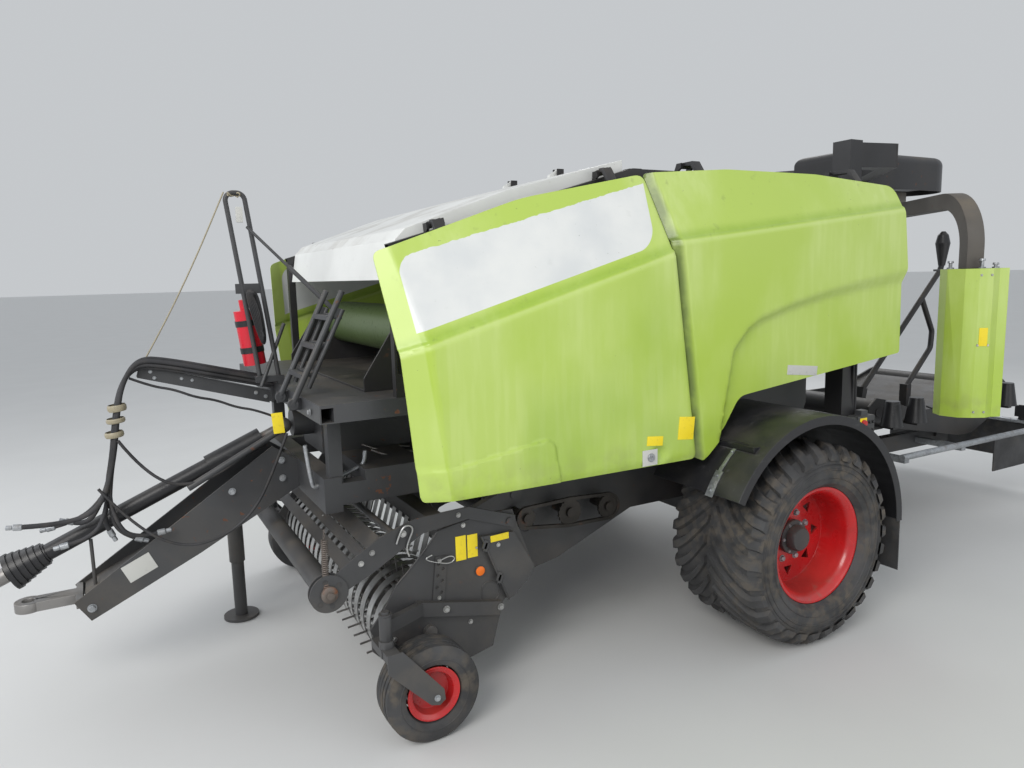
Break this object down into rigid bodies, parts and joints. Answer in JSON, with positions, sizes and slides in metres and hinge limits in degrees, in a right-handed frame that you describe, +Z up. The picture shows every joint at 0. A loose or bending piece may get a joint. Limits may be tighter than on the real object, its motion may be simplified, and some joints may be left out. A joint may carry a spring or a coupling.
{
  "type": "round baler wrapper",
  "caption": "Towed fixed-chamber round baler joined to a two-arm film wrapper, with tined pickup, tailgate, hinged side panels, drawbar, jack, drive shaft and two main wheels.",
  "frame": {"origin": "centre of the object's footprint at the ground, below the middle of the main axle", "axes": "+X towards the rear (the wrapper), +Y to the object's right, +Z up; the drawbar is at -X"},
  "size_m": [7.2158, 2.92, 2.705],
  "materials": {
    "green_panel": "light green paint, satin",
    "white_panel": "white paint, satin",
    "frame_paint": "dark grey paint, dusty",
    "black_paint": "black paint, satin",
    "arm_paint": "grey paint, dusty",
    "red_paint": "red paint, gloss",
    "steel": "bare worked steel",
    "zinc": "galvanised steel",
    "black_plastic": "moulded black plastic",
    "tyre": "black rubber tyre",
    "rubber": "black rubber",
    "net": "rolled net, pale green"
  },
  "bodies": {
    "frame": {"axle": "frame_paint", "chassis": "frame_paint", "chamber_rollers": "steel", "fenders": "black_plastic", "mudflaps": "rubber", "roof_frame": "black_paint", "platform": "frame_paint", "gearbox": "frame_paint", "drive_chain": "steel", "rear_lamps": "black_plastic", "net_box": "black_paint", "net_roll": "net", "drawbar": "frame_paint", "coupling_eye": "steel", "jack_sleeve": "zinc", "shaft_guard": "black_plastic", "drive_sprockets": "steel", "wrap_portal": "black_paint", "guard_rail": "zinc", "side_skirts": "rubber", "drop_mat": "rubber", "control_box": "frame_paint", "hose_beam": "frame_paint", "tube_stand": "zinc", "extinguisher": "red_paint"},
    "tailgate": {"tailgate": "frame_paint", "gate_rollers": "steel"},
    "wheel_left": {"rim_left": "red_paint", "tyre_left": "tyre"},
    "wheel_right": {"rim_right": "red_paint", "tyre_right": "tyre"},
    "pickup": {"pickup_frame": "frame_paint", "stripper_bands": "zinc"},
    "reel": {"pickup_reel": "steel"},
    "wind_guard": {"wind_guard": "frame_paint"},
    "crop_roller": {"crop_roller": "frame_paint"},
    "castor_left": {"castor_left": "zinc"},
    "castor_right": {"castor_right": "zinc"},
    "gauge_left": {"gauge_rim_left": "red_paint", "gauge_tyre_left": "tyre"},
    "gauge_right": {"gauge_rim_right": "red_paint", "gauge_tyre_right": "tyre"},
    "feed": {"feed_rotor": "frame_paint"},
    "panel_front_left": {"front_panel_left": "green_panel"},
    "panel_front_right": {"front_panel_right": "green_panel"},
    "panel_rear_left": {"rear_panel_left": "green_panel"},
    "panel_rear_right": {"rear_panel_right": "green_panel"},
    "hood": {"front_hood": "white_panel"},
    "steps": {"ladder": "zinc"},
    "jack": {"jack_leg": "zinc"},
    "shaft": {"drive_shaft": "steel"},
    "rotor": {"wrap_rotor": "arm_paint", "film_guards": "green_panel", "film_units": "black_paint"},
    "table": {"wrap_table": "black_paint", "guide_cones": "black_plastic", "guide_bow": "black_paint"},
    "roller_front": {"table_roller_front": "black_paint"},
    "roller_rear": {"table_roller_rear": "black_paint"}
  },
  "joints": [
    {"name": "wheel_left_spin", "type": "hinge", "parent": "frame", "child": "wheel_left", "pos_m": [0, -1.165, 0.515], "axis": [0, 1, 0], "continuous": true},
    {"name": "wheel_right_spin", "type": "hinge", "parent": "frame", "child": "wheel_right", "pos_m": [0, 1.165, 0.515], "axis": [0, 1, 0], "continuous": true},
    {"name": "tailgate_swing", "type": "hinge", "parent": "frame", "child": "tailgate", "pos_m": [-0.11, 0, 2.345], "axis": [0, -1, 0], "range_deg": [0, 45]},
    {"name": "pickup_lift", "type": "hinge", "parent": "frame", "child": "pickup", "pos_m": [-1.33, 0, 0.82], "axis": [0, 1, 0], "range_deg": [0, 7]},
    {"name": "reel_spin", "type": "hinge", "parent": "pickup", "child": "reel", "pos_m": [-1.9, 0, 0.36], "axis": [0, 1, 0], "continuous": true},
    {"name": "wind_guard_swing", "type": "hinge", "parent": "pickup", "child": "wind_guard", "pos_m": [-1.5, 0, 0.79], "axis": [0, 1, 0], "range_deg": [-12, 0]},
    {"name": "crop_roller_spin", "type": "hinge", "parent": "wind_guard", "child": "crop_roller", "pos_m": [-2.334, 0, 0.638], "axis": [0, 1, 0], "continuous": true},
    {"name": "castor_left_turn", "type": "hinge", "parent": "pickup", "child": "castor_left", "pos_m": [-2.155, -1.105, 0.51], "axis": [0, 0, 1], "range_deg": [-10, 10]},
    {"name": "castor_right_turn", "type": "hinge", "parent": "pickup", "child": "castor_right", "pos_m": [-2.155, 1.105, 0.51], "axis": [0, 0, 1], "range_deg": [-10, 10]},
    {"name": "gauge_left_spin", "type": "hinge", "parent": "castor_left", "child": "gauge_left", "pos_m": [-1.985, -1.105, 0.206], "axis": [0, 1, 0], "continuous": true},
    {"name": "gauge_right_spin", "type": "hinge", "parent": "castor_right", "child": "gauge_right", "pos_m": [-1.985, 1.105, 0.206], "axis": [0, 1, 0], "continuous": true},
    {"name": "feed_spin", "type": "hinge", "parent": "frame", "child": "feed", "pos_m": [-1.23, 0, 0.64], "axis": [0, 1, 0], "continuous": true},
    {"name": "panel_front_left_swing", "type": "hinge", "parent": "frame", "child": "panel_front_left", "pos_m": [-0.78, -0.93, 2.4], "axis": [-0.9622, 0, -0.2723], "range_deg": [0, 75]},
    {"name": "panel_front_right_swing", "type": "hinge", "parent": "frame", "child": "panel_front_right", "pos_m": [-0.78, 0.93, 2.4], "axis": [0.9622, 0, 0.2723], "range_deg": [0, 75]},
    {"name": "panel_rear_left_swing", "type": "hinge", "parent": "frame", "child": "panel_rear_left", "pos_m": [0, -0.93, 2.4], "axis": [-1, 0, 0], "range_deg": [0, 75]},
    {"name": "panel_rear_right_swing", "type": "hinge", "parent": "frame", "child": "panel_rear_right", "pos_m": [0, 0.93, 2.4], "axis": [1, 0, 0], "range_deg": [0, 75]},
    {"name": "hood_swing", "type": "hinge", "parent": "frame", "child": "hood", "pos_m": [-0.77, 0, 2.44], "axis": [0, 1, 0], "range_deg": [0, 30]},
    {"name": "steps_fold", "type": "hinge", "parent": "frame", "child": "steps", "pos_m": [-2.36, -0.525, 1.375], "axis": [0, -1, 0], "range_deg": [0, 150]},
    {"name": "jack_slide", "type": "slide", "parent": "frame", "child": "jack", "axis": [0, 0, -1], "range_m": [0, 0.1]},
    {"name": "shaft_spin", "type": "hinge", "parent": "frame", "child": "shaft", "pos_m": [-3.35, 0, 0.712], "axis": [0.9202, 0, 0.3915], "continuous": true},
    {"name": "rotor_spin", "type": "hinge", "parent": "frame", "child": "rotor", "pos_m": [2.4, 0, 2.3], "axis": [0, 0, 1], "continuous": true},
    {"name": "table_tilt", "type": "hinge", "parent": "frame", "child": "table", "pos_m": [2.7, 0, 0.64], "axis": [0, 1, 0], "range_deg": [0, 20]},
    {"name": "roller_front_spin", "type": "hinge", "parent": "table", "child": "roller_front", "pos_m": [1.64, 0, 0.88], "axis": [0, 1, 0], "continuous": true},
    {"name": "roller_rear_spin", "type": "hinge", "parent": "table", "child": "roller_rear", "pos_m": [3.14, 0, 0.88], "axis": [0, 1, 0], "continuous": true}
  ]
}
